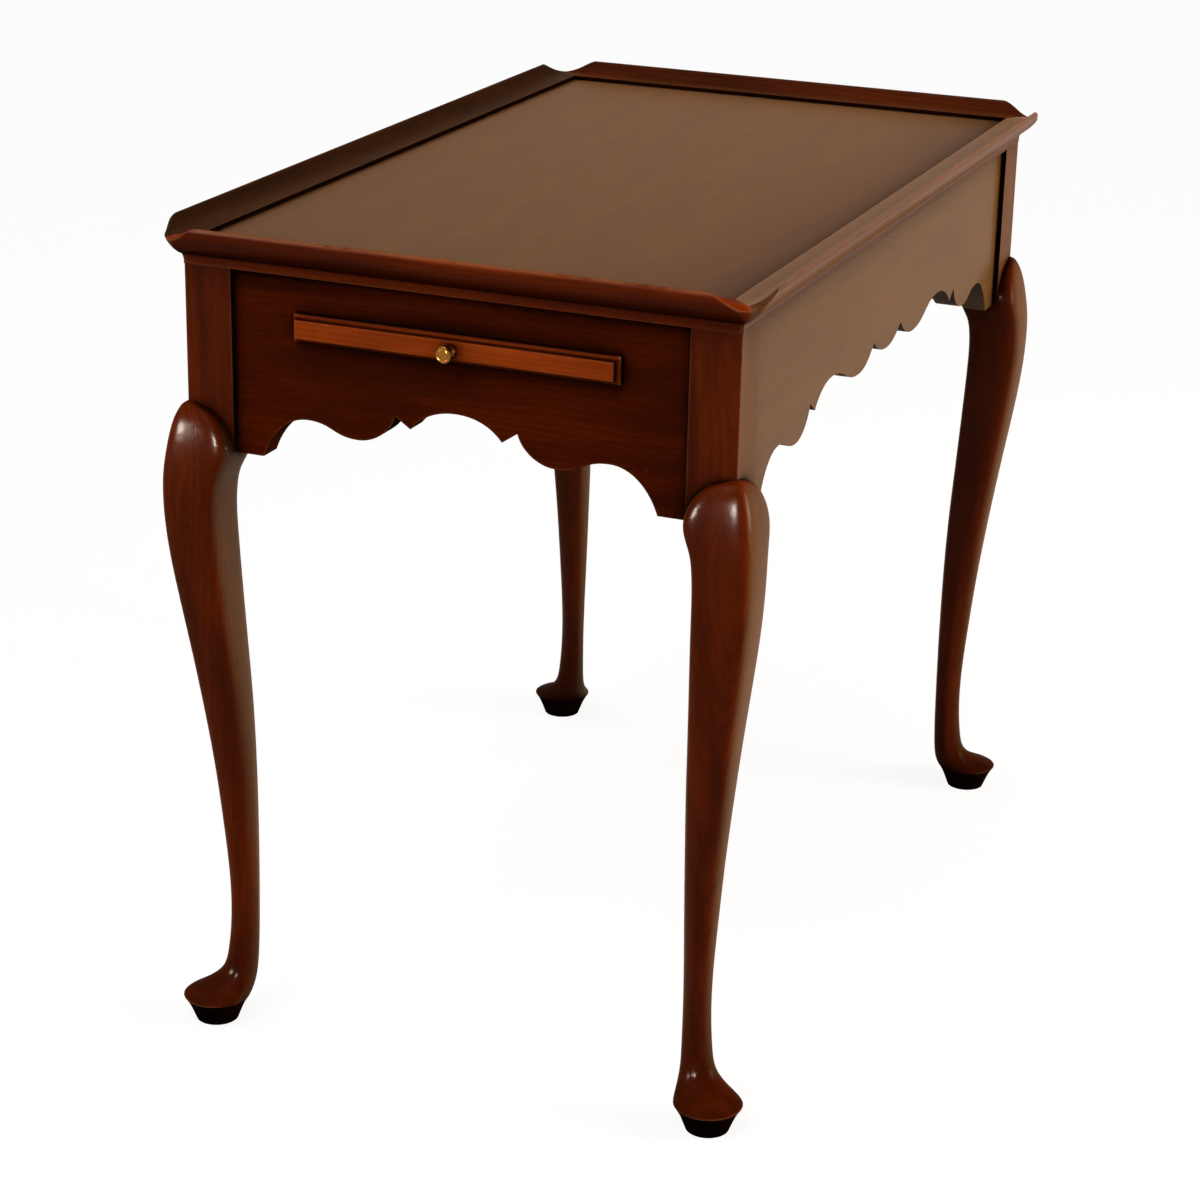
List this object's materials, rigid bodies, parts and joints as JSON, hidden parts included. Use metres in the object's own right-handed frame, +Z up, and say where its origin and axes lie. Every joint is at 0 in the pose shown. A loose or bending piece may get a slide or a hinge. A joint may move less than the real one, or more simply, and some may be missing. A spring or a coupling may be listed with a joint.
{
  "type": "tray top tea table",
  "caption": "Rectangular tea table with a moulded tray top and scooped rim corners, scalloped aprons, cabriole legs on pad feet and a pull-out slide with a brass knob at each short end.",
  "frame": {"origin": "on the floor, under the middle of the table", "axes": "+Z up, +X along the table towards the right-hand slide, -Y is the front long side"},
  "size_m": [0.7904, 0.4954, 0.6829],
  "materials": {
    "mahogany": "dark red-brown stained mahogany under satin lacquer",
    "poplar": "unfinished planed secondary wood, hidden inside",
    "brass": "turned brass, slightly aged",
    "steel": "plain zinc-plated steel"
  },
  "bodies": {
    "table": {"block_screws": "steel", "corner_block_back_left": "poplar", "corner_block_back_right": "poplar", "corner_block_front_left": "poplar", "corner_block_front_right": "poplar", "end_apron_left": "mahogany", "end_apron_right": "mahogany", "leg_back_left": "mahogany", "leg_back_right": "mahogany", "leg_front_left": "mahogany", "leg_front_right": "mahogany", "long_apron_back": "mahogany", "long_apron_front": "mahogany", "slide_rail_back": "poplar", "slide_rail_front": "poplar", "top_screws": "steel", "tray_board": "mahogany", "tray_rim_back": "mahogany", "tray_rim_front": "mahogany", "tray_rim_left": "mahogany", "tray_rim_right": "mahogany"},
    "left_slide": {"knob_stud_left": "steel", "slide_board_left": "mahogany", "slide_front_left": "mahogany", "slide_knob_left": "brass", "slide_stops_left": "poplar"},
    "right_slide": {"knob_stud_right": "steel", "slide_board_right": "mahogany", "slide_front_right": "mahogany", "slide_knob_right": "brass", "slide_stops_right": "poplar"}
  },
  "joints": [
    {"name": "left_slide_pull", "type": "slide", "parent": "table", "child": "left_slide", "axis": [-1, 0, 0], "range_m": [0, 0.2145]},
    {"name": "right_slide_pull", "type": "slide", "parent": "table", "child": "right_slide", "axis": [1, 0, 0], "range_m": [0, 0.2145]}
  ]
}
